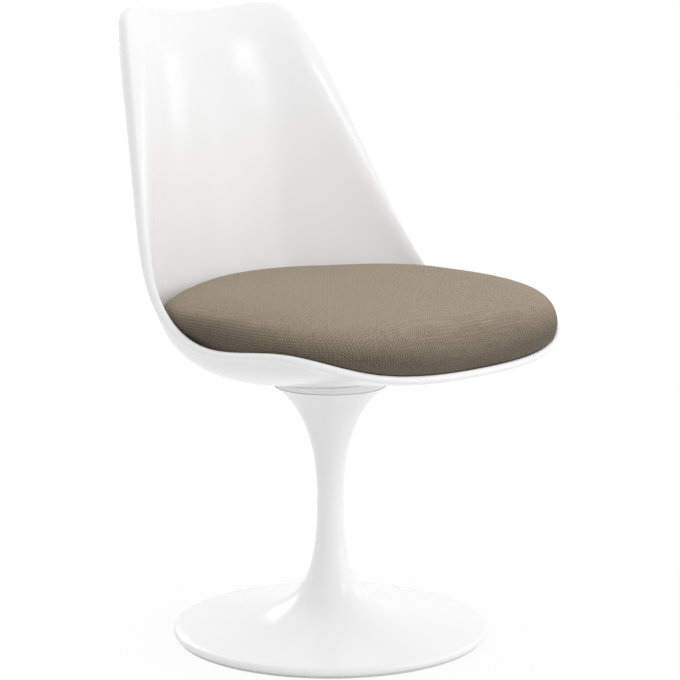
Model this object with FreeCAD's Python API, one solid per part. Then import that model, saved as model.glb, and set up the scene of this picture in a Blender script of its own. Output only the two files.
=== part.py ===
import FreeCAD, Part
import math
import os

# Swivel dining chair: a one-piece moulded seat shell on a cast trumpet pedestal, with a loose cushion.
# Millimetres. The floor is Z = 0, the stem's axis is the Z axis, the chair faces -Y.

Vec = FreeCAD.Vector
ORIGIN = Vec(0, 0, 0)
UP = Vec(0, 0, 1)

# Overall sizes
chair_height = 808.0
seat_width = 491.0
front_reach = 263.0
back_reach = 269.0
front_lip_height = 385.3
foot_radius = 204.5
pedestal_height = 330.0

# Seat shell
shell_wall = 6.0
seat_tilt = 2.0
pad_radius = 74.0
lip_radius = 4.8
top_lip_radius = 11.0
lip_growth = 22
flare_growth = 30

# Pedestal casting
casting_wall = 6.0
rim_thickness = 10.5
rim_round = 4.0
waist_radius = 17.2
waist_height = 182.0
flange_radius = 72.2
ring_height = 3.0
ring_width = 9.0
ring_rib_width = 3.4
ring_rib_height = 2.7
rib_play = 0.2
rim_land = 12.0
foot_run = 0.286
foot_lift = 17.4
stem_low = 0.149
neck_run = 0.36
throat_share = 0.37
throat_drop = 0.22

# Swivel
hub_radius = 72.0
boss_radius = 50.5
boss_depth = 8.0
boss_play = 1.5
hub_thickness = 6.0
gasket_inset = 1.5
gasket_thickness = 1.0
seal_thickness = 0.9
seal_inner_radius = 57.0
turning_play = 0.3
spindle_radius = 10.0
spindle_foot = 104.0
spindle_bury = 12.5
spindle_play = 0.02
bush_play = 0.05
bush_wall = 2.45
bush_seat_play = 0.01
bore_radius = 11.5
upper_bush_length = 40.0
bush_below_race = 0.5
lower_bush_length = 30.0
lower_bush_top = 150.0
race_outer_radius = 17.5
race_thickness = 3.0
race_play = 0.1
lower_race_bore_play = 0.5
ball_radius = 2.5
ball_count = 14
ball_circle = 13.9
groove_depth = 0.5
groove_play = 0.12
cage_thickness = 1.8
cage_margin = 2.9
pocket_play = 0.1
clip_width = 1.5
clip_groove_depth = 1.0
clip_overlap = 2.5
clip_gap = 5.0
washer_thickness = 2.0
washer_radius = 13.6

# Seat fixing
plate_radius = 58.0
plate_thickness = 4.0
bolt_radius = 4.0
bolt_circle = 36.0
bolt_count = 4
bolt_start = 45.0
bolt_head_radius = 7.6
bolt_head_height = 3.6
bolt_reach = 9.0
bolt_socket = 5.0
bolt_socket_depth = 2.4
thread_play = 0.05
hole_play = 0.5

# Cushion
cushion_gap = 2.5
plate_relief = 5.2
relief_span = 0.25
cover_thickness = 2.0
crown_height = 469.8
crown_tilt = 0.9
crown_flat_radius = 40.0
crown_forward = 20.0
corner_start = 0.93
corner_rise = 12.0
corner_pull = 0.55
tape_thickness = 0.95
tape_gap = 0.3
tape_seat = 0.1
tape_places = [0.18, 0.44]
tape_half_width = 0.022
tape_start = 0.34
tape_end = 0.60

# Stations along the lip from the front middle round one side to the top middle.
# Place: across as a share of the half width, fore and aft as a share of the reach, up as a share of the rise.
# Wall: slope at the lip and slope off the pad in degrees, how far the pan and the wall run straight.
# Lip: share of the way from lip_radius to top_lip_radius, and the outward flare in millimetres.
# Cushion: height of its lower edge, its side height, its bulge over the edge, its fullness towards the crown.
stations = [
    # front middle
    (0.000, -1.000, 0.000, 22, 11.0, 0.51, 0.33, 0.00, 0.0, 383.0, 58, 10, 0.88),
    # front corner
    (0.682, -0.899, 0.026, 21, 12.0, 0.495, 0.27, 0.00, 0.0, 396.5, 50, 16, 0.90),
    # side, in front
    (0.975, -0.614, 0.080, 52, 13.0, 0.49, 0.24, 0.00, 2.0, 411.0, 47, 8, 0.92),
    # side, lowest sweep
    (1.000, -0.099, 0.064, 68, 11.0, 0.445, 0.255, 0.00, 2.0, 408.5, 55, 6, 0.96),
    # hip, where the wing starts
    (0.992, 0.232, 0.177, 87, 10.5, 0.525, 0.345, 0.15, 5.0, 421.0, 39, 3, 0.95),
    # wing
    (0.850, 0.515, 0.510, 88, 10.5, 0.765, 0.595, 0.50, 13.0, 427.0, 32, 2, 0.94),
    # wing top
    (0.633, 0.829, 0.938, 78, 10.0, 0.86, 0.59, 1.00, 20.0, 428.0, 32, 0, 0.92),
    # shoulder
    (0.504, 0.931, 1.005, 72.5, 9.0, 0.87, 0.515, 0.65, 17.0, 428.0, 35, 0, 0.88),
    # top middle
    (0.000, 1.000, 0.991, 70, 9.0, 0.88, 0.52, 0.25, 8.0, 428.0, 37, 0, 0.86),
]

# How finely the curved forms are drawn
half_columns = 40
wall_rows = 16
lip_rows = 6
under_rows = 10
corner_rows = 5
crown_rows = 12
tape_rows = 4
hollow_steps = 12
settle_sweeps = 80
halvings = 50

slope = math.tan(math.radians(seat_tilt))
seal_top = pedestal_height + seal_thickness
hub_bottom = seal_top + turning_play
hub_top = hub_bottom + hub_thickness
boss_bottom = hub_bottom - boss_depth
pad_middle = hub_top + (gasket_thickness + shell_wall / 2) / math.cos(math.radians(seat_tilt))


# Helpers for round pieces

def ring(inner, outer, low, high):
    solid = Part.makeCylinder(outer, high - low, Vec(0, 0, low))
    if inner > 0:
        solid = solid.cut(Part.makeCylinder(inner, high - low, Vec(0, 0, low)))
    return solid


def on_circle(shape, radius, count, start):
    copies = []
    for index in range(count):
        copy = shape.copy()
        copy.translate(Vec(radius, 0, 0))
        copy.rotate(ORIGIN, UP, start + 360.0 * index / count)
        copies.append(copy)
    return copies


def turned(edges):
    return Part.Face(Part.Wire(edges)).revolve(ORIGIN, UP, 360)


def line(a, b):
    return Part.makeLine(Vec(a[0], 0, a[1]), Vec(b[0], 0, b[1]))


def path(points):
    return [line(a, b) for a, b in zip(points[:-1], points[1:])]


def on_pad(shape):
    # turns a piece from the level frame to the tilted pad on the hub
    copy = shape.copy()
    copy.rotate(Vec(0, 0, hub_top), Vec(1, 0, 0), -seat_tilt)
    return copy


def save(shape, name):
    if not shape.isValid():
        raise ValueError(name + " is not valid")
    shape.exportStep("parts/" + name + ".step")


# Smooth closed curve through the stations

def loop_rows():
    half_width = seat_width / 2 - lip_radius
    front = front_reach - lip_radius
    top_bead = lip_radius + stations[-1][7] * (top_lip_radius - lip_radius)
    back = back_reach - top_bead
    base = front_lip_height - lip_radius
    rise = chair_height - top_lip_radius - base
    rows = []
    for across, along, up, *rest in stations:
        reach = front if along < 0 else back
        bead = lip_radius + rest[4] * (top_lip_radius - lip_radius)
        place = [across * half_width, along * reach, base + up * rise]
        rows.append(place + rest[:4] + [bead] + rest[5:])
    mirrored = [[-row[0]] + row[1:] for row in rows[-2:0:-1]]
    return rows + mirrored


class Loop:
    # periodic cubic spline, spaced by the square root of the distance between stations
    def __init__(self, rows):
        self.rows = rows
        self.count = len(rows)
        self.gaps = []
        for index in range(self.count):
            a = Vec(*rows[index][:3])
            b = Vec(*rows[(index + 1) % self.count][:3])
            self.gaps.append(math.sqrt((b - a).Length))
        self.length = sum(self.gaps)
        self.bends = [[0.0] * len(rows[0]) for row in rows]
        for sweep in range(settle_sweeps):
            for index in range(self.count):
                self.settle(index)

    def settle(self, index):
        after = (index + 1) % self.count
        g0 = self.gaps[index - 1]
        g1 = self.gaps[index]
        for column in range(len(self.rows[0])):
            rise1 = (self.rows[after][column] - self.rows[index][column]) / g1
            rise0 = (self.rows[index][column] - self.rows[index - 1][column]) / g0
            pull = g0 * self.bends[index - 1][column] + g1 * self.bends[after][column]
            self.bends[index][column] = (6 * (rise1 - rise0) - pull) / (2 * (g0 + g1))

    def at(self, place):
        place = place % self.length
        index = 0
        while place > self.gaps[index] and index < self.count - 1:
            place -= self.gaps[index]
            index += 1
        gap = self.gaps[index]
        t = place / gap
        s = 1 - t
        after = (index + 1) % self.count
        values = []
        for column in range(len(self.rows[0])):
            straight = s * self.rows[index][column] + t * self.rows[after][column]
            bow = (s ** 3 - s) * self.bends[index][column] + (t ** 3 - t) * self.bends[after][column]
            values.append(straight + bow * gap * gap / 6)
        return values


def cubic(a, b, c, d, t):
    s = 1 - t
    return a * (s * s * s) + b * (3 * s * s * t) + c * (3 * s * t * t) + d * (t * t * t)


def cubic_slope(a, b, c, d, t):
    s = 1 - t
    return (b - a) * (3 * s * s) + (c - b) * (6 * s * t) + (d - c) * (3 * t * t)


class Profile:
    # one radial cut of the seat shell's middle surface, from the pad's edge to the lip
    def __init__(self, values):
        lip = Vec(*values[:3])
        lean = math.radians(values[3])
        pan_rise = math.tan(math.radians(values[4]))
        self.bead = values[7]
        reach = math.hypot(lip.x, lip.y)
        self.out = Vec(lip.x / reach, lip.y / reach, 0)
        along = self.out + UP * (pan_rise - slope * self.out.y)
        self.start = self.out * pad_radius + UP * (pad_middle - slope * self.out.y * pad_radius)
        self.pan = self.start + along * (values[5] * (reach - pad_radius))
        self.flare = self.out * values[8]
        self.lip = lip - self.flare
        direction = self.out * math.cos(lean) + UP * math.sin(lean)
        self.wall = self.lip - direction * (values[6] * (self.lip - self.start).Length)
        self.edge_height = values[9]
        self.side_height = values[10]
        self.bulge = values[11]
        self.fullness = values[12]

    def point(self, q):
        return cubic(self.start, self.pan, self.wall, self.lip, q) + self.flare * q ** flare_growth

    def run(self, q):
        bend = self.flare * (flare_growth * q ** (flare_growth - 1))
        return cubic_slope(self.start, self.pan, self.wall, self.lip, q) + bend

    def half_wall(self, q):
        return shell_wall / 2 + (self.bead - shell_wall / 2) * q ** lip_growth


class Column:
    # a profile with its neighbours, so that the wall's true normal is known
    def __init__(self, loop, place):
        step = loop.length * 1e-4
        self.profile = Profile(loop.at(place))
        self.before = Profile(loop.at(place - step))
        self.after = Profile(loop.at(place + step))

    def normal(self, q):
        across = self.after.point(q) - self.before.point(q)
        normal = self.profile.run(q).cross(across)
        if q == 0:
            # the pad's edge belongs to the flat, tilted pad
            normal = Vec(0, slope, 1)
        normal.normalize()
        return normal

    def offset(self, q, height):
        # the point this far above the shell's upper face
        lift = self.profile.half_wall(q) + height
        return self.profile.point(q) + self.normal(q) * lift

    def under(self, q):
        return self.profile.point(q) - self.normal(q) * self.profile.half_wall(q)

    def bead(self, angle):
        run = self.profile.run(1.0)
        run.normalize()
        side = self.normal(1.0) * math.cos(angle) + run * math.sin(angle)
        return self.profile.point(1.0) + side * self.profile.bead

    def height_place(self, height, lift):
        # how far along the profile a point lifted off the upper face reaches a height
        low = 0.05
        high = 0.985
        for halving in range(halvings):
            middle = (low + high) / 2
            if self.offset(middle, lift).z < height:
                low = middle
            else:
                high = middle
        return low


loop = Loop(loop_rows())
half_length = loop.length / 2
columns = [Column(loop, half_length * index / half_columns) for index in range(half_columns + 1)]


# Smooth skins through a grid of points

def mean_gaps(rows):
    gaps = []
    for index in range(len(rows[0]) - 1):
        gaps.append(sum((row[index + 1] - row[index]).Length for row in rows) / len(rows))
    return gaps


def end_slope(points, gaps):
    first = (points[1] - points[0]) * (1 / gaps[0])
    second = (points[2] - points[1]) * (1 / gaps[1])
    return first + (first - second) * (gaps[0] / (gaps[0] + gaps[1]))


def mirror_slope(points):
    # the slope of an evenly spaced row where it meets its mirror image at X = 0
    return Vec((8 * points[1].x - points[2].x) / 6, 0, 0)


def spline_poles(points, gaps, first, last):
    # poles of the cubic spline through the points, with its slope given at both ends
    wide = [0.0] + gaps + [0.0]
    start = points[0] + first * (gaps[0] / 3)
    end = points[-1] - last * (gaps[-1] / 3)
    shares = [0.0]
    values = [start]
    for index in range(1, len(gaps)):
        g0, g1, g2, g3 = wide[index - 1:index + 3]
        low = g2 * g2 / (g0 + g1 + g2)
        high = g1 * g1 / (g1 + g2 + g3)
        pivot = g1 + g2 - low - high - low * shares[-1]
        values.append((points[index] * (g1 + g2) - values[-1] * low) * (1 / pivot))
        shares.append(high / pivot)
    poles = [points[-1], end]
    for index in range(len(gaps) - 1, 0, -1):
        poles.append(values[index] - poles[-1] * shares[index])
    return [points[0], start] + poles[:1:-1] + [end, points[-1]]


def knots(gaps):
    places = [0.0]
    for gap in gaps:
        places.append(places[-1] + gap)
    return places


def skin(rows, mirrored):
    down = mean_gaps(rows)
    over = [1.0] * (len(rows) - 1)
    threads = []
    for row in rows:
        first = end_slope(row, down)
        last = end_slope(row[::-1], down[::-1]) * -1
        threads.append(spline_poles(row, down, first, last))
    lines = []
    for line in zip(*threads):
        points = list(line)
        back = points[::-1]
        first = mirror_slope(points) if mirrored else end_slope(points, over)
        last = mirror_slope(back) if mirrored else end_slope(back, over)
        lines.append(spline_poles(points, over, first, last * -1))
    surface = Part.BSplineSurface()
    surface.buildFromPolesMultsKnots(
        [list(row) for row in zip(*lines)],
        [4] + [1] * (len(over) - 1) + [4],
        [4] + [1] * (len(down) - 1) + [4],
        knots(over), knots(down), False, False, 3, 3)
    return surface


def closed_form(grid):
    # a solid from one half skin, its mirror image and the flat discs at its two ends
    surface = skin(grid, True)
    u0, u1, v0, v1 = surface.bounds()
    face = surface.toShape()
    faces = [face, face.mirror(ORIGIN, Vec(1, 0, 0))]
    for v in (v0, v1):
        edge = surface.vIso(v).toShape()
        faces.append(Part.Face(Part.Wire([edge, edge.mirror(ORIGIN, Vec(1, 0, 0))])))
    shell = Part.Shell(faces)
    shell.sewShape()
    solid = Part.Solid(shell)
    if solid.Volume < 0:
        solid.reverse()
    return solid


def shell_grid():
    shares = [1 - (1 - index / wall_rows) ** 2 for index in range(wall_rows + 1)]
    turns = [math.pi * index / lip_rows for index in range(1, lip_rows)]
    grid = []
    for column in columns:
        row = [column.offset(q, 0.0) for q in shares]
        row += [column.bead(angle) for angle in turns]
        row += [column.under(q) for q in reversed(shares)]
        grid.append(row)
    return grid


def cushion_grid(inset):
    lift = cushion_gap + inset
    tilt = math.tan(math.radians(crown_tilt))
    grid = []
    for column in columns:
        profile = column.profile
        edge = column.height_place(profile.edge_height, lift)
        row = []
        for index in range(under_rows + 1):
            q = edge * corner_start * index / under_rows
            relief = (plate_relief - cushion_gap) * max(0.0, 1 - q / relief_span) ** 2
            row.append(column.offset(q, lift + relief))
        leave = row[-1]
        run = profile.run(edge * corner_start)
        run.normalize()
        seat_edge = column.offset(edge, lift)
        side = seat_edge + UP * corner_rise
        pull = (side - leave).Length * corner_pull
        for index in range(1, corner_rows):
            row.append(cubic(leave, leave + run * pull, side - UP * pull, side, index / corner_rows))
        reach = math.hypot(seat_edge.x, seat_edge.y)
        crown = profile.out * (crown_flat_radius - inset) - Vec(0, crown_forward, 0)
        crown.z = crown_height - inset - tilt * crown.y
        shoulder = crown + profile.out * (profile.fullness * (reach - crown_flat_radius))
        shoulder.z = crown_height - inset - tilt * shoulder.y
        rise = side + UP * (profile.side_height - corner_rise - inset) + profile.out * profile.bulge
        for index in range(crown_rows + 1):
            row.append(cubic(side, rise, shoulder, crown, index / crown_rows))
        grid.append(row)
    return grid


def tape(place, half_width, start, end, low, high):
    # a strip of tape that follows the pan: its faces lie this far above the shell's upper face
    steps = [index / tape_rows for index in range(tape_rows + 1)]
    strips = [Column(loop, place + half_width * (2 * step - 1)) for step in steps]
    shares = [start + (end - start) * step for step in steps]
    lower = skin([[strip.offset(q, low) for q in shares] for strip in strips], False)
    upper = skin([[strip.offset(q, high) for q in shares] for strip in strips], False)
    faces = [lower.toShape(), upper.toShape()]
    u0, u1, v0, v1 = lower.bounds()
    p0, p1, r0, r1 = upper.bounds()
    for u, p in ((u0, p0), (u1, p1)):
        faces.append(Part.makeRuledSurface(lower.uIso(u).toShape(), upper.uIso(p).toShape()))
    for v, r in ((v0, r0), (v1, r1)):
        faces.append(Part.makeRuledSurface(lower.vIso(v).toShape(), upper.vIso(r).toShape()))
    shell = Part.Shell(faces)
    shell.sewShape()
    solid = Part.Solid(shell)
    if solid.Volume < 0:
        solid.reverse()
    return solid


def tapes(low, high):
    strips = []
    for share in tape_places:
        strip = tape(half_length * share, half_length * tape_half_width, tape_start, tape_end, low, high)
        strips.append(strip)
        strips.append(strip.mirror(ORIGIN, Vec(1, 0, 0)))
    return Part.makeCompound(strips)


os.makedirs("parts", exist_ok=True)

# Seat shell, with a clearance hole for each seat bolt
shell_bottom = hub_top + gasket_thickness
shell_top = shell_bottom + shell_wall
hole = Part.makeCylinder(bolt_radius + hole_play, shell_wall + 2, Vec(0, 0, shell_bottom - 1))
seat_shell = closed_form(shell_grid())
for cutter in on_circle(hole, bolt_circle, bolt_count, bolt_start):
    seat_shell = seat_shell.cut(on_pad(cutter))
save(seat_shell, "seat_shell")

# Cushion: woven cover drawn over a foam block, loop tapes under it, hook tapes on the shell
cushion_foam = closed_form(cushion_grid(cover_thickness))
cushion_cover = closed_form(cushion_grid(0.0)).cut(cushion_foam)
save(cushion_cover, "cushion_cover")
save(cushion_foam, "cushion_foam")
hook_top = tape_seat + tape_thickness
loop_low = hook_top + tape_gap
save(tapes(tape_seat, hook_top), "hook_tapes")
save(tapes(loop_low, cushion_gap - tape_seat), "loop_tapes")

# Backing plate and countersunk bolts that clamp the shell to the hub
plate_top = shell_top + plate_thickness
plate = ring(0, plate_radius, shell_top, plate_top)
head_low = plate_top - bolt_head_height
sink = Part.makeCone(bolt_radius + hole_play, bolt_head_radius + hole_play, bolt_head_height, Vec(0, 0, head_low))
sink = sink.fuse(Part.makeCylinder(bolt_radius + hole_play, plate_thickness, Vec(0, 0, shell_top)))
for cutter in on_circle(sink, bolt_circle, bolt_count, bolt_start):
    plate = plate.cut(cutter)
save(on_pad(plate), "backing_plate")
bolt_tip = hub_top - bolt_reach
bolt = Part.makeCylinder(bolt_radius, head_low - bolt_tip, Vec(0, 0, bolt_tip))
bolt = bolt.fuse(Part.makeCone(bolt_radius, bolt_head_radius, bolt_head_height, Vec(0, 0, head_low)))
socket_corners = []
for index in range(7):
    angle = math.radians(60 * index)
    corner_reach = bolt_socket / 2 / math.cos(math.radians(30))
    socket_corners.append(Vec(corner_reach * math.cos(angle), corner_reach * math.sin(angle), plate_top))
socket = Part.Face(Part.makePolygon(socket_corners)).extrude(Vec(0, 0, -bolt_socket_depth))
bolt = bolt.cut(socket)
bolts = on_circle(bolt, bolt_circle, bolt_count, bolt_start)
save(Part.makeCompound([on_pad(one) for one in bolts]), "seat_bolts")

# Gasket and swivel hub; the hub's top is cut at the seat's tilt
gasket = ring(0, hub_radius - gasket_inset, hub_top, shell_bottom)
hub = ring(0, hub_radius, hub_bottom, shell_top).fuse(ring(0, boss_radius, boss_bottom, hub_bottom))
above = Part.makeBox(4 * hub_radius, 4 * hub_radius, hub_radius, Vec(-2 * hub_radius, -2 * hub_radius, hub_top))
hub = hub.cut(on_pad(above))
clear_hole = Part.makeCylinder(bolt_radius + hole_play, gasket_thickness, Vec(0, 0, hub_top))
thread = Part.makeCylinder(bolt_radius + thread_play, bolt_reach + 1, Vec(0, 0, bolt_tip - 1))
for cutter in on_circle(clear_hole, bolt_circle, bolt_count, bolt_start):
    gasket = gasket.cut(cutter)
for cutter in on_circle(thread, bolt_circle, bolt_count, bolt_start):
    hub = hub.cut(on_pad(cutter))
spindle_top = boss_bottom + spindle_bury
hub = hub.cut(ring(0, spindle_radius + spindle_play, boss_bottom, spindle_top))
save(on_pad(gasket), "hub_gasket")
save(hub.removeSplitter(), "swivel_hub")
save(ring(seal_inner_radius, hub_radius - gasket_inset, pedestal_height, seal_top), "swivel_seal")

# Thrust bearing under the hub's boss
upper_low = boss_bottom - race_thickness
ball_middle = upper_low - (ball_radius - groove_depth)
lower_high = 2 * ball_middle - upper_low
bearing_seat = lower_high - race_thickness
groove = Part.makeTorus(ball_circle, ball_radius + groove_play, Vec(0, 0, ball_middle))
upper_race = ring(spindle_radius + bush_play, race_outer_radius - turning_play, upper_low, boss_bottom)
lower_race = ring(spindle_radius + lower_race_bore_play, race_outer_radius, bearing_seat, lower_high)
save(upper_race.cut(groove), "upper_race")
save(lower_race.cut(groove), "lower_race")
ball = Part.makeSphere(ball_radius, Vec(0, 0, ball_middle))
pocket = Part.makeSphere(ball_radius + pocket_play, Vec(0, 0, ball_middle))
cage = ring(ball_circle - cage_margin, ball_circle + cage_margin,
            ball_middle - cage_thickness / 2, ball_middle + cage_thickness / 2)
for cutter in on_circle(pocket, ball_circle, ball_count, 0):
    cage = cage.cut(cutter)
save(Part.makeCompound(on_circle(ball, ball_circle, ball_count, 0)), "bearing_balls")
save(cage, "bearing_cage")

# Spindle with its clip groove, washer and clip
lower_bush_low = lower_bush_top - lower_bush_length
washer_high = lower_bush_low - turning_play
washer_low = washer_high - washer_thickness
clip_low = washer_low - clip_width
spindle = ring(0, spindle_radius, spindle_foot, spindle_top)
clip_seat = spindle_radius - clip_groove_depth
spindle = spindle.cut(ring(clip_seat, spindle_radius + 1, clip_low, washer_low))
save(spindle, "spindle")
save(ring(spindle_radius + bush_play, washer_radius, washer_low, washer_high), "retaining_washer")
clip = ring(clip_seat + spindle_play, clip_seat + clip_overlap, clip_low + spindle_play, washer_low)
mouth = Part.makeBox(clip_seat + clip_overlap + 1, clip_gap, clip_width, Vec(0, -clip_gap / 2, clip_low))
save(clip.cut(mouth), "retaining_clip")

# Bushes pressed into the stem
bush_bore = spindle_radius + bush_play
bush_outer = bush_bore + bush_wall
bush_seat = bush_outer + bush_seat_play
upper_bush_low = bearing_seat - upper_bush_length
save(ring(bush_bore, bush_outer, upper_bush_low, bearing_seat - bush_below_race), "upper_bush")
save(ring(bush_bore, bush_outer, lower_bush_low, lower_bush_top), "lower_bush")

# Pedestal: outer trumpet curves, the swivel seats at its top and the cast hollow underneath
foot_edge = Vec(foot_radius - rim_round, 0, ring_height + rim_thickness)
waist = Vec(waist_radius, 0, waist_height)
flange_edge = Vec(flange_radius, 0, pedestal_height)
foot_pull = Vec(foot_radius * foot_run, 0, foot_edge.z + foot_lift)
stem_pull = Vec(waist_radius, 0, waist_height * stem_low)
lower_curve = Part.BezierCurve()
lower_curve.setPoles([foot_edge, foot_pull, stem_pull, waist])
neck = pedestal_height - waist_height
upper_curve = Part.BezierCurve()
upper_curve.setPoles([
    waist,
    Vec(waist_radius, 0, waist_height + neck * neck_run),
    Vec(flange_radius * throat_share, 0, pedestal_height - neck * throat_drop),
    flange_edge,
])
rim_bottom = Vec(foot_radius - rim_round, 0, ring_height)
rim_middle = Vec(foot_radius, 0, ring_height + rim_thickness / 2)
rim_edge = Part.Arc(rim_bottom, rim_middle, foot_edge).toShape()
land_inner = foot_radius - rim_round - rim_land


def inside(t):
    # the hollow keeps the casting wall clear of the lower curve
    run = cubic_slope(foot_edge, foot_pull, stem_pull, waist, t)
    run.normalize()
    return cubic(foot_edge, foot_pull, stem_pull, waist, t) - Vec(run.z, 0, -run.x) * casting_wall


def curve_share(reached):
    low = 0.0
    high = 1.0
    for halving in range(halvings):
        middle = (low + high) / 2
        if reached(inside(middle)):
            high = middle
        else:
            low = middle
    return (low + high) / 2


hollow_start = curve_share(lambda p: p.x < land_inner)
hollow_end = curve_share(lambda p: p.z > lower_bush_low)
hollow_points = []
for index in range(hollow_steps + 1):
    hollow_points.append(inside(hollow_start + (hollow_end - hollow_start) * index / hollow_steps))
hollow_curve = Part.BSplineCurve()
hollow_curve.interpolate(hollow_points)
hollow_low = hollow_points[0]
hollow_high = hollow_points[-1]
recess = boss_radius + boss_play
recess_floor = boss_bottom - turning_play
race_seat = race_outer_radius + race_play
inner_path = [
    (flange_edge.x, pedestal_height),
    (recess, pedestal_height),
    (recess, recess_floor),
    (race_seat, recess_floor),
    (race_seat, bearing_seat),
    (bush_seat, bearing_seat),
    (bush_seat, upper_bush_low),
    (bore_radius, upper_bush_low),
    (bore_radius, lower_bush_top),
    (bush_seat, lower_bush_top),
    (bush_seat, hollow_high.z),
    (hollow_high.x, hollow_high.z),
]
groove_middle = foot_radius - rim_round - rim_land / 2
rib_half = ring_rib_width / 2 + rib_play
under_path = [
    (hollow_low.x, hollow_low.z),
    (hollow_low.x, ring_height),
    (groove_middle - rib_half, ring_height),
    (groove_middle - rib_half, ring_height + ring_rib_height + rib_play),
    (groove_middle + rib_half, ring_height + ring_rib_height + rib_play),
    (groove_middle + rib_half, ring_height),
    (rim_bottom.x, ring_height),
]
pedestal = turned([rim_edge, lower_curve.toShape(), upper_curve.toShape()]
                  + path(inner_path) + [hollow_curve.toShape()] + path(under_path))
save(pedestal, "pedestal")

# Floor ring with a rib that snaps into the rim's groove
floor_ring = ring(groove_middle - ring_width / 2, groove_middle + ring_width / 2, 0, ring_height)
rib = ring(groove_middle - ring_rib_width / 2, groove_middle + ring_rib_width / 2,
           ring_height, ring_height + ring_rib_height)
save(floor_ring.fuse(rib).removeSplitter(), "floor_ring")
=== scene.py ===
import math

import bpy
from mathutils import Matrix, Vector
from mathutils.bvhtree import BVHTree


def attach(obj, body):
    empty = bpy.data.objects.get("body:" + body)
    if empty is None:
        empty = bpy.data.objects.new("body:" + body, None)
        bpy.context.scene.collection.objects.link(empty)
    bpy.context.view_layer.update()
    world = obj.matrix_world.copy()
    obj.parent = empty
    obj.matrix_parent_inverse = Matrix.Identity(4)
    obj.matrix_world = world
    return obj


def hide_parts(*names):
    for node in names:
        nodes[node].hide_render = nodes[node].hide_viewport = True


# A white swivel pedestal chair with a taupe cushion on a plain pale floor.
# Metres, the same frame as the CAD part.

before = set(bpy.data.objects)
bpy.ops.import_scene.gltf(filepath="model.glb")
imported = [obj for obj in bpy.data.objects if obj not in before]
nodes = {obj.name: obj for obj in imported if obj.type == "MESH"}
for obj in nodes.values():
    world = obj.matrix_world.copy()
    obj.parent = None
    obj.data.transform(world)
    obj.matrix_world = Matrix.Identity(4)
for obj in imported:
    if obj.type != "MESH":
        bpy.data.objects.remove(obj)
scene = bpy.context.scene
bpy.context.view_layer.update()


# Shader helpers

# nearly all of a noise texture's values lie between these two
noise_low = 0.3
noise_high = 0.7

# a grain shows its full range of tones between these two
grain_low = 0.25
grain_high = 0.75


class Shader:
    # a material with one Principled surface and a short way to add nodes to it
    def __init__(self, name):
        self.material = bpy.data.materials.new(name)
        self.material.use_nodes = True
        self.tree = self.material.node_tree
        self.surface = self.tree.nodes["Principled BSDF"]
        self.place = self.add("ShaderNodeTexCoord").outputs["Object"]

    def add(self, kind, **settings):
        node = self.tree.nodes.new(kind)
        for key, value in settings.items():
            setattr(node, key, value)
        return node

    def plug(self, socket, value):
        if isinstance(value, bpy.types.NodeSocket):
            self.tree.links.new(value, socket)
        else:
            socket.default_value = value

    def sum(self, operation, first, second=0.0, third=0.0):
        node = self.add("ShaderNodeMath", operation=operation)
        for socket, value in zip(node.inputs, (first, second, third)):
            self.plug(socket, value)
        return node.outputs[0]

    def noise(self, scale, detail=2.0, rough=0.5, stretch=(1, 1, 1)):
        mapping = self.add("ShaderNodeMapping")
        self.plug(mapping.inputs["Vector"], self.place)
        mapping.inputs["Scale"].default_value = stretch
        node = self.add("ShaderNodeTexNoise")
        self.plug(node.inputs["Vector"], mapping.outputs[0])
        node.inputs["Scale"].default_value = scale
        node.inputs["Detail"].default_value = detail
        node.inputs["Roughness"].default_value = rough
        return node.outputs["Fac"]

    def ramp(self, factor, *stops):
        node = self.add("ShaderNodeValToRGB")
        self.plug(node.inputs["Fac"], factor)
        marks = node.color_ramp.elements
        halfway = 0.5
        while len(marks) < len(stops):
            marks.new(halfway)
        for mark, (place, colour) in zip(marks, stops):
            mark.position = place
            mark.color = (*colour, 1.0)
        return node.outputs["Color"]

    def map_range(self, factor, start, stop, low, high, **settings):
        node = self.add("ShaderNodeMapRange", **settings)
        self.plug(node.inputs["Value"], factor)
        node.inputs["From Min"].default_value = start
        node.inputs["From Max"].default_value = stop
        node.inputs["To Min"].default_value = low
        node.inputs["To Max"].default_value = high
        return node.outputs["Result"]

    def spread(self, noise, low, high):
        return self.map_range(noise, noise_low, noise_high, low, high)

    def bump(self, height, distance, strength=1.0):
        node = self.add("ShaderNodeBump")
        self.plug(node.inputs["Height"], height)
        node.inputs["Distance"].default_value = distance
        node.inputs["Strength"].default_value = strength
        self.plug(self.surface.inputs["Normal"], node.outputs["Normal"])

    def set(self, **values):
        for name, value in values.items():
            self.plug(self.surface.inputs[name.replace("_", " ")], value)
        return self.material


def shade(colour, factor):
    return tuple(channel * factor for channel in colour)


# Materials

def gloss_white(name, colour, smoothest, roughest):
    # moulded or sprayed white: faint clouding and uneven polish under a thin coat
    s = Shader(name)
    clouds = s.noise(scale=6.0)
    clouded = shade(colour, 0.985)
    tone = s.ramp(clouds, (noise_low, clouded), (noise_high, colour))
    polish = s.spread(s.noise(scale=14.0), smoothest, roughest)
    return s.set(Base_Color=tone, Roughness=polish, IOR=1.5, Coat_Weight=0.3, Coat_Roughness=0.15)


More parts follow.
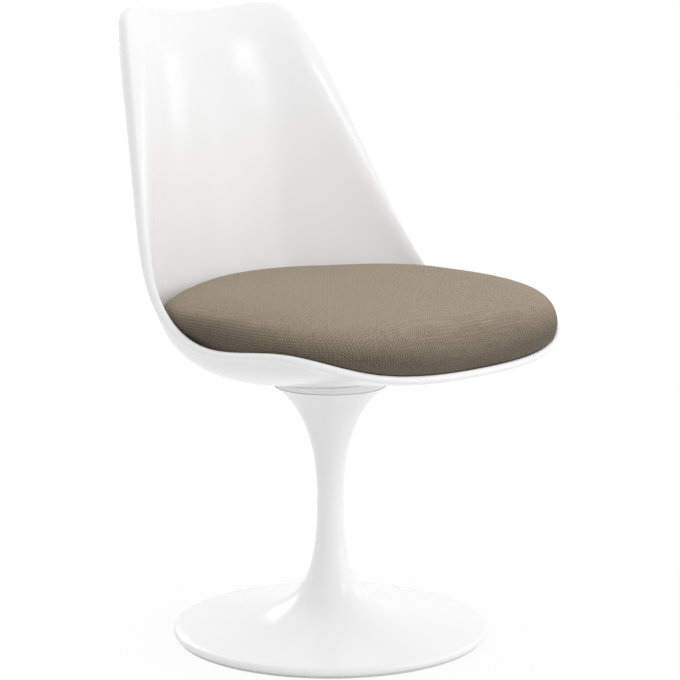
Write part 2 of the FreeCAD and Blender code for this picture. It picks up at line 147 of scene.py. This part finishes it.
def weave_height(s, facing, pitch):
    # plain weave with a stronger rib one way: threads along each axis, mixed by which way the cloth faces
    waver = 3.0
    rib = 0.5
    bend = s.sum("MULTIPLY", s.noise(scale=22.0), waver)
    apart = s.add("ShaderNodeSeparateXYZ")
    s.plug(apart.inputs[0], s.place)
    threads = []
    weights = []
    for axis in range(3):
        along = s.sum("MULTIPLY_ADD", apart.outputs[axis], 2 * math.pi / pitch, bend)
        threads.append(s.sum("SINE", along))
        weights.append(s.sum("MULTIPLY", facing.outputs[axis], facing.outputs[axis]))
    height = 0.0
    for axis in range(3):
        first, second = threads[axis - 2], threads[axis - 1]
        cross = s.sum("MULTIPLY_ADD", first, second, s.sum("MULTIPLY", second, rib))
        height = s.sum("MULTIPLY_ADD", cross, weights[axis], height)
    return height


def woven(name, colour, pitch):
    # the threads, their thick places and their fuzz set the tone, and upward-facing cloth is painted paler as
    # painted light from above, so the sides read darker
    s = Shader(name)
    facing = s.add("ShaderNodeSeparateXYZ")
    s.plug(facing.inputs[0], s.add("ShaderNodeNewGeometry").outputs["Normal"])
    height = weave_height(s, facing, pitch)
    fuzz = s.noise(scale=700.0, detail=3.0, rough=0.7)
    slub = s.noise(scale=150.0, stretch=(0.4, 1.5, 1.0))
    thread_share, slub_share, fuzz_share = 0.24, 0.15, 0.9
    level = s.sum("MULTIPLY", fuzz, fuzz_share)
    level = s.sum("MULTIPLY_ADD", slub, slub_share, level)
    level = s.sum("MULTIPLY_ADD", height, thread_share, level)
    painted_light_upward, offset = 0.68, 0.372
    # painted light: the more the cloth faces up, the paler its colour
    upward = s.sum("MAXIMUM", facing.outputs["Z"], 0.0)
    tone_with_painted_light = s.sum("MULTIPLY_ADD", upward, painted_light_upward, s.sum("SUBTRACT", level, offset))
    dark, middling, pale = shade(colour, 0.34), shade(colour, 0.85), shade(colour, 1.45)
    tone = s.ramp(tone_with_painted_light, (0.02, dark), (0.5, middling), (0.85, pale))
    fuzz_height = 0.6
    s.bump(s.sum("MULTIPLY_ADD", fuzz, fuzz_height, height), distance=0.0006, strength=0.8)
    s.set(Base_Color=tone, Roughness=0.92, Specular_IOR_Level=0.2)
    return s.set(Sheen_Weight=0.12, Sheen_Roughness=0.45, Sheen_Tint=(0.80, 0.74, 0.66, 1.0))


def metal(name, colour, rough, grain):
    # ground or plated: fine lines along the grain, painted darker in their hollows as painted shade
    s = Shader(name)
    lines = s.noise(scale=260.0, rough=0.6, stretch=grain)
    s.bump(lines, distance=0.00004)
    # painted shade: the lines' hollows are darker
    painted_shade_hollows = shade(colour, 0.88)
    tone = s.ramp(lines, (grain_low, painted_shade_hollows), (grain_high, colour))
    polish = s.spread(lines, low=rough * 0.8, high=rough * 1.3)
    return s.set(Base_Color=tone, Metallic=1.0, Roughness=polish)


def dull(name, colour, rough, scale, depth):
    # rubber, matt plastic, tape or a matt coating: an even fine grain, its hollows painted darker as painted
    # shade and its tops painted paler as painted light
    s = Shader(name)
    grain = s.noise(scale, detail=4.0, rough=0.6)
    s.bump(grain, depth)
    # painted shade in the grain's hollows and painted light on its tops
    painted_shade_hollows, painted_light_tops = shade(colour, 0.85), shade(colour, 1.06)
    tone = s.ramp(grain, (grain_low, painted_shade_hollows), (grain_high, painted_light_tops))
    polish = s.spread(grain, low=rough * 0.9, high=min(1.0, rough * 1.1))
    return s.set(Base_Color=tone, Roughness=polish)


def grey(level):
    return (level, level, level)


moulded = (0.889, 0.890, 0.897)
sprayed = (0.89, 0.89, 0.888)
turned = (1, 1, 12)
even = (1, 1, 1)
shell_white = gloss_white("shell_white", moulded, smoothest=0.20, roughest=0.25)
pedestal_white = gloss_white("pedestal_white", sprayed, smoothest=0.21, roughest=0.26)
hub_white = gloss_white("hub_white", shade(sprayed, 0.97), smoothest=0.32, roughest=0.38)
cloth = woven("cushion_cloth", (0.276, 0.226, 0.165), pitch=3.4e-3)
steel = metal("steel", (0.56, 0.57, 0.58), rough=0.28, grain=turned)
zinc = metal("bolt_steel", (0.50, 0.51, 0.52), rough=0.40, grain=even)
brass = metal("bush_brass", (0.71, 0.55, 0.27), rough=0.32, grain=turned)
black = dull("plate_steel", (0.045, 0.045, 0.047), rough=0.55, scale=700.0, depth=0.00006)
rubber = dull("gasket_rubber", grey(0.90), rough=0.75, scale=500.0, depth=0.00005)
plastic = dull("seal_plastic", grey(0.90), rough=0.55, scale=400.0, depth=0.00004)
foot_plastic = dull("floor_plastic", (0.80, 0.80, 0.79), rough=0.60, scale=300.0, depth=0.00005)
tape = dull("tape", (0.62, 0.62, 0.60), rough=0.95, scale=1600.0, depth=0.0004)

looks = {
    "seat_shell": shell_white, "pedestal": pedestal_white, "swivel_hub": hub_white, "hub_gasket": rubber,
    "swivel_seal": plastic, "floor_ring": foot_plastic, "loop_tapes": tape, "hook_tapes": tape,
    "backing_plate": black, "seat_bolts": zinc, "upper_race": steel, "lower_race": steel,
    "bearing_balls": steel, "bearing_cage": plastic, "spindle": steel, "retaining_washer": steel,
    "retaining_clip": steel, "upper_bush": brass, "lower_bush": brass, "cushion_cover": cloth,
    "cushion_foam": cloth,
}
for name, material in looks.items():
    nodes[name].data.materials.clear()
    nodes[name].data.materials.append(material)


# Cushion: the foam's form, rounded, filled out to the shell and blown up a little inside its cloth

# the shell's lip around the seat: degrees from straight ahead, and the lip's height there
lip_heights = ((0, 0.383), (35, 0.3965), (56, 0.411), (84, 0.4085), (180, 0.4085))
middle = Vector((0.0, -0.03, 0.0))
clearance = 0.001
shell_reach = 0.02

# how far the sides swell, and where that starts and stops: from the middle out, around the seat, over the lip
front_swell = 0.0135
rear_swell = 0.0095
rim = (0.15, 0.19)
front_turn = (50, 95)
front_foot, front_head = (-0.032, -0.006), (0.0, 0.060)
rear_turn = (85, 110)
rear_foot, rear_head = (0.0, 0.02), (0.045, 0.075)

# where the lower side settles against the shell: around the seat, over the lip, and how near it has to be
hug_turn, hug_head, hug_depth = (60, 95), (0.0, 0.014), (0.006, 0.012)

# the cloth run holds the cushion below this height and frees it over the stretch above
held_height = 0.418
freeing = 0.035


def settled(source):
    graph = bpy.context.evaluated_depsgraph_get()
    return bpy.data.meshes.new_from_object(source.evaluated_get(graph))


def baked(source):
    source.data = settled(source)
    source.modifiers.clear()


def fade(value, start, stop):
    share = max(0.0, min(1.0, (value - start) / (stop - start)))
    return share * share * (3 - 2 * share)


def band(value, foot, head):
    # rises over the foot and falls again over the head
    return fade(value, *foot) * (1 - fade(value, *head))


def lip_height(turn):
    for (first, low), (second, high) in zip(lip_heights, lip_heights[1:]):
        if turn <= second:
            return low + (high - low) * (turn - first) / (second - first)


def free_share(point):
    # 0 on the held underside, 1 on the open top
    return max(0.0, min(1.0, (point.z - held_height) / freeing))


def in_front(tree, point):
    # the way out of the shell's nearest face, the distance to it, and how far in front of it the point is
    near, normal, _, gap = tree.find_nearest(point)
    return normal, gap, (point - near).dot(normal)


def rounded_foam():
    cover_thickness = 0.001
    form = bpy.data.objects.new("cushion", nodes["cushion_foam"].data.copy())
    scene.collection.objects.link(form)
    remesh = form.modifiers.new("remesh", "REMESH")
    remesh.mode = "VOXEL"
    remesh.voxel_size = 0.0055
    relax = form.modifiers.new("relax", "SMOOTH")
    relax.factor = 0.5
    relax.iterations = 40
    swell = form.modifiers.new("swell", "DISPLACE")
    swell.strength = cover_thickness
    swell.mid_level = 0.0
    baked(form)
    return form


def fill_out(mesh, tree):
    # the sides swell to the lip around the front and to the wall behind, and stay clear of the shell
    for vertex in mesh.vertices:
        out = Vector((vertex.co.x, vertex.co.y, 0.0)) - middle
        heading = out.normalized()
        turn = math.degrees(math.atan2(abs(out.x), -out.y))
        rise = vertex.co.z - lip_height(turn)
        edge = fade(out.length, *rim)
        front = edge * (1 - fade(turn, *front_turn)) * band(rise, front_foot, front_head)
        vertex.co += heading * front_swell * front
        rear = edge * fade(turn, *rear_turn) * band(rise, rear_foot, rear_head)
        bulge = rear_swell * rear
        room = tree.ray_cast(vertex.co, heading, bulge + clearance)[3]
        if room is not None:
            bulge = max(0.0, room - clearance)
        vertex.co += heading * bulge
        normal, gap, depth = in_front(tree, vertex.co)
        hug = edge * (1 - fade(turn, *hug_turn)) * (1 - fade(rise, *hug_head))
        hug *= 1 - fade(depth, *hug_depth)
        if gap < shell_reach:
            vertex.co += normal * (clearance - depth) * (1.0 if depth < clearance else hug)


def blow_up(form):
    # a short cloth run under pressure, of which the open top keeps a little
    loosest = 0.9
    last_frame = 20
    furthest = 0.002
    rest = [vertex.co.copy() for vertex in form.data.vertices]
    pins = form.vertex_groups.new(name="pins")
    for vertex in form.data.vertices:
        pins.add([vertex.index], 1.0 - loosest * free_share(vertex.co), "REPLACE")
    run = form.modifiers.new("cloth", "CLOTH")
    run.settings.quality = 6
    run.settings.use_pressure = True
    run.settings.uniform_pressure_force = 4.0
    run.settings.vertex_group_mass = "pins"
    run.settings.effector_weights.gravity = 0.0
    run.point_cache.frame_start = 1
    run.point_cache.frame_end = last_frame
    for number in range(1, last_frame + 1):
        scene.frame_set(number)
    baked(form)
    for vertex, start in zip(form.data.vertices, rest):
        move = vertex.co - start
        if move.length > furthest:
            move = move.normalized() * furthest
        vertex.co = start + move * free_share(start)
    scene.frame_set(1)


def refine(form, tree):
    # a finer mesh, with no point of it inside the shell
    finer = form.modifiers.new("finer", "SUBSURF")
    finer.levels = 1
    baked(form)
    for vertex in form.data.vertices:
        normal, gap, depth = in_front(tree, vertex.co)
        if gap < shell_reach and depth < clearance:
            vertex.co += normal * (clearance - depth)


shell = nodes["seat_shell"].data
shell_tree = BVHTree.FromPolygons([v.co for v in shell.vertices], [p.vertices for p in shell.polygons])
cushion = rounded_foam()
fill_out(cushion.data, shell_tree)
blow_up(cushion)
refine(cushion, shell_tree)
cushion.data.materials.clear()
cushion.data.materials.append(cloth)
cushion.data.shade_smooth()
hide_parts("cushion_cover", "cushion_foam")
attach(cushion, "cushion")


# The CAD meshes are shaded smooth across gentle edges and crisp across sharp ones

def smooth_shading():
    sharpest = math.radians(35.0)
    weld = 0.00001
    group = bpy.data.node_groups.new("smooth", "GeometryNodeTree")
    group.interface.new_socket("Geometry", in_out="INPUT", socket_type="NodeSocketGeometry")
    group.interface.new_socket("Geometry", in_out="OUTPUT", socket_type="NodeSocketGeometry")
    steps = [group.nodes.new(kind) for kind in (
        "NodeGroupInput", "GeometryNodeMergeByDistance", "GeometryNodeRemoveAttribute",
        "GeometryNodeSetShadeSmooth", "GeometryNodeSetShadeSmooth", "NodeGroupOutput")]
    _, merge, remove, _, edges, _ = steps
    for first, second in zip(steps, steps[1:]):
        group.links.new(first.outputs[0], second.inputs[0])
    merge.inputs["Distance"].default_value = weld
    remove.inputs["Name"].default_value = "custom_normal"
    edges.domain = "EDGE"
    angle = group.nodes.new("GeometryNodeInputMeshEdgeAngle")
    gentle = group.nodes.new("FunctionNodeCompare")
    gentle.operation = "LESS_THAN"
    gentle.inputs["B"].default_value = sharpest
    group.links.new(angle.outputs["Unsigned Angle"], gentle.inputs["A"])
    group.links.new(gentle.outputs["Result"], edges.inputs["Shade Smooth"])
    return group


smooth = smooth_shading()
for node in nodes.values():
    node.modifiers.new("smooth", "NODES").node_group = smooth


# Floor

def eye_rays(tree):
    # 1 for rays that show the backdrop, straight on or in a shiny or clear surface
    path = tree.nodes.new("ShaderNodeLightPath")
    total = path.outputs["Is Camera Ray"]
    for other in ("Is Glossy Ray", "Is Transmission Ray"):
        add = tree.nodes.new("ShaderNodeMath")
        add.operation = "MAXIMUM"
        tree.links.new(total, add.inputs[0])
        tree.links.new(path.outputs[other], add.inputs[1])
        total = add.outputs[0]
    return total


def pale_floor():
    # the floor's own white takes over from its lit face away from the foot
    # so the shadow stays and no horizon shows
    s = Shader("floor")
    tone = s.ramp(s.noise(scale=40.0, detail=3.0), (noise_low, grey(0.76)), (noise_high, grey(0.80)))
    s.set(Base_Color=tone, Roughness=0.9, Specular_IOR_Level=0.0)
    away = s.add("ShaderNodeVectorMath", operation="LENGTH")
    s.plug(away.inputs[0], s.place)
    near_foot, far_off = 0.15, 0.60
    least, most = 0.92, 1.0
    own_white = s.map_range(away.outputs["Value"], near_foot, far_off, least, most,
                            interpolation_type="SMOOTHSTEP")
    glow = s.add("ShaderNodeEmission")
    blend = s.add("ShaderNodeMixShader")
    s.plug(blend.inputs["Fac"], s.sum("MULTIPLY", own_white, eye_rays(s.tree)))
    s.plug(blend.inputs[1], s.surface.outputs[0])
    s.plug(blend.inputs[2], glow.outputs[0])
    s.plug(s.tree.nodes["Material Output"].inputs["Surface"], blend.outputs[0])
    return s.material


bpy.ops.mesh.primitive_plane_add(size=14.0, location=(0, 0, 0))
floor = bpy.context.object
floor.name = "floor"
floor.data.materials.append(pale_floor())


# Light

def studio():
    # white to the eye; as light, brighter from the right front than from the left and behind
    bright_side = (0.88, -0.46, 0.10)
    dimmest, brightest = 0.69, 1.20
    world = bpy.data.worlds.new("studio")
    world.use_nodes = True
    tree = world.node_tree
    tree.nodes.clear()
    seen, lit = [tree.nodes.new("ShaderNodeBackground") for _ in range(2)]
    for background in (seen, lit):
        background.inputs["Color"].default_value = (1, 1, 1, 1)
    seen.inputs["Strength"].default_value = 1.0
    toward = tree.nodes.new("ShaderNodeVectorMath")
    toward.operation = "DOT_PRODUCT"
    toward.inputs[1].default_value = bright_side
    tree.links.new(tree.nodes.new("ShaderNodeTexCoord").outputs["Generated"], toward.inputs[0])
    level = tree.nodes.new("ShaderNodeMapRange")
    level.inputs["From Min"].default_value = -1.0
    level.inputs["From Max"].default_value = 1.0
    level.inputs["To Min"].default_value = dimmest
    level.inputs["To Max"].default_value = brightest
    tree.links.new(toward.outputs["Value"], level.inputs["Value"])
    tree.links.new(level.outputs["Result"], lit.inputs["Strength"])
    mix = tree.nodes.new("ShaderNodeMixShader")
    tree.links.new(eye_rays(tree), mix.inputs["Fac"])
    tree.links.new(lit.outputs[0], mix.inputs[1])
    tree.links.new(seen.outputs[0], mix.inputs[2])
    tree.links.new(mix.outputs[0], tree.nodes.new("ShaderNodeOutputWorld").inputs["Surface"])
    return world


def look_at(place, aim):
    return (Vector(aim) - Vector(place)).to_track_quat("-Z", "Y").to_euler()


def softbox(name, place, aim, size, power):
    data = bpy.data.lights.new(name, "AREA")
    data.shape = "RECTANGLE"
    data.size, data.size_y = size
    data.energy = power
    lamp = bpy.data.objects.new(name, data)
    lamp.location = place
    lamp.rotation_euler = look_at(place, aim)
    scene.collection.objects.link(lamp)


scene.world = studio()
softbox("front_fill", place=(1.4, -2.2, 0.5), aim=(0, 0.1, 0.5), size=(2.0, 2.0), power=7.8)
softbox("front_box", place=(0.95, -2.45, 2.05), aim=(0, 0.2, 0.7), size=(0.5, 0.6), power=3.2)
softbox("front_strip", place=(0.62, -2.53, 1.6), aim=(0, 0.2, 0.6), size=(0.25, 0.6), power=1.2)
softbox("back_panel", place=(-0.3, 2.0, 1.8), aim=(0, 0, 0.05), size=(2.5, 2.5), power=5.0)
softbox("back_glint", place=(0.6, 2.2, 1.1), aim=(-0.05, 0.02, 0.05), size=(1.1, 0.8), power=5.0)
softbox("right_glint", place=(2.2, -0.58, 1.13), aim=(0, -0.04, 0.06), size=(0.5, 0.6), power=1.0)


# Camera, fitted to the photograph

azimuth = math.radians(-45.0)
distance = 3.163
eye_height = 0.9356
aim_height = 0.3883
aim_aside = 0.0124
photo_side_pixels = 680
focal_pixels = 2504.5
sensor_width = 36.0

right = Vector((math.cos(azimuth), math.sin(azimuth), 0))
eye = Vector((distance * math.sin(azimuth), -distance * math.cos(azimuth), eye_height))
view = bpy.data.cameras.new("photo")
view.sensor_width = sensor_width
view.lens = focal_pixels / photo_side_pixels * sensor_width
camera = bpy.data.objects.new("photo", view)
camera.location = eye
camera.rotation_euler = look_at(eye, right * aim_aside + Vector((0, 0, aim_height)))
scene.collection.objects.link(camera)
scene.camera = camera
scene.view_settings.view_transform = "Standard"
